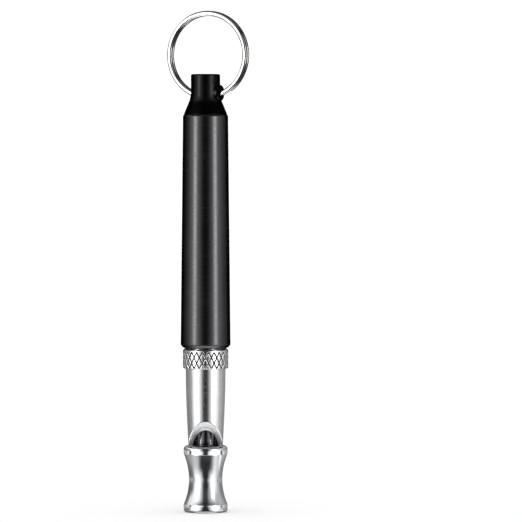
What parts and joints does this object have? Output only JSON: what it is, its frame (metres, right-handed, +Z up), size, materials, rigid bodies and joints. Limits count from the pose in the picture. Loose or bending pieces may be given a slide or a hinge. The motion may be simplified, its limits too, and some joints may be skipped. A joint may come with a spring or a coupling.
{
  "type": "training whistle",
  "caption": "Adjustable-pitch dog-training whistle: waisted mouthpiece, windowed tube, knurled collar, black sleeve over a threaded tuning rod, and a key ring through the neck.",
  "frame": {"origin": "centre of the mouthpiece's flat end face, on the surface that the whistle stands on", "axes": "+Z up the whistle's axis from the mouth to the key ring, -Y the side that the window faces, +X to the right of the window"},
  "size_m": [0.0157, 0.0094, 0.095],
  "materials": {
    "polished_chrome": "polished plating",
    "satin_aluminium": "satin, fine turned",
    "black_anodised": "black anodised, satin gloss",
    "spring_steel": "nickel plated",
    "machined_brass": "machined",
    "seal_rubber": "moulded",
    "black_plastic": "moulded"
  },
  "bodies": {
    "whistle": {"mouthpiece": "polished_chrome", "fipple_plug": "black_plastic", "whistle_tube": "satin_aluminium", "knurled_collar": "satin_aluminium", "thread_bush": "machined_brass"},
    "barrel_gasket": {"barrel_seal": "seal_rubber"},
    "barrel": {"barrel_sleeve": "black_anodised", "neck_plug": "black_anodised", "eye_bush": "black_anodised"},
    "key_ring": {"split_ring": "spring_steel"},
    "piston_ring": {"piston_seal": "seal_rubber"},
    "tuner": {"piston": "machined_brass", "tuning_rod": "machined_brass", "thumb_knob": "machined_brass"},
    "washer": {"lock_washer": "spring_steel"},
    "nut": {"lock_nut": "machined_brass"}
  },
  "joints": [
    {"name": "barrel_pull_off", "type": "slide", "parent": "whistle", "child": "barrel_gasket", "axis": [0, 0, 1], "range_m": [0, 0.042]},
    {"name": "barrel_turn", "type": "hinge", "parent": "barrel_gasket", "child": "barrel", "pos_m": [0, 0, 0.031], "axis": [0, 0, 1], "range_deg": [0, 2880]},
    {"name": "ring_swing", "type": "hinge", "parent": "barrel", "child": "key_ring", "pos_m": [0, 0, 0.0794], "axis": [0.9063, -0.4226, 0], "range_deg": [-155, 155]},
    {"name": "piston_travel", "type": "slide", "parent": "whistle", "child": "piston_ring", "axis": [0, 0, 1], "range_m": [0, 0.006]},
    {"name": "rod_turn", "type": "hinge", "parent": "piston_ring", "child": "tuner", "pos_m": [0, 0, 0.0235], "axis": [0, 0, 1], "range_deg": [0, 4320]},
    {"name": "nut_travel", "type": "slide", "parent": "tuner", "child": "washer", "axis": [0, 0, 1], "range_m": [0, 0.0015]},
    {"name": "nut_turn", "type": "hinge", "parent": "washer", "child": "nut", "pos_m": [0, 0, 0.04], "axis": [0, 0, 1], "range_deg": [0, 1080]}
  ],
  "couplings": [
    {"joint": "rod_turn", "follows": "piston_travel", "rad_per_m": 12566},
    {"joint": "nut_turn", "follows": "nut_travel", "rad_per_m": 12566}
  ]
}
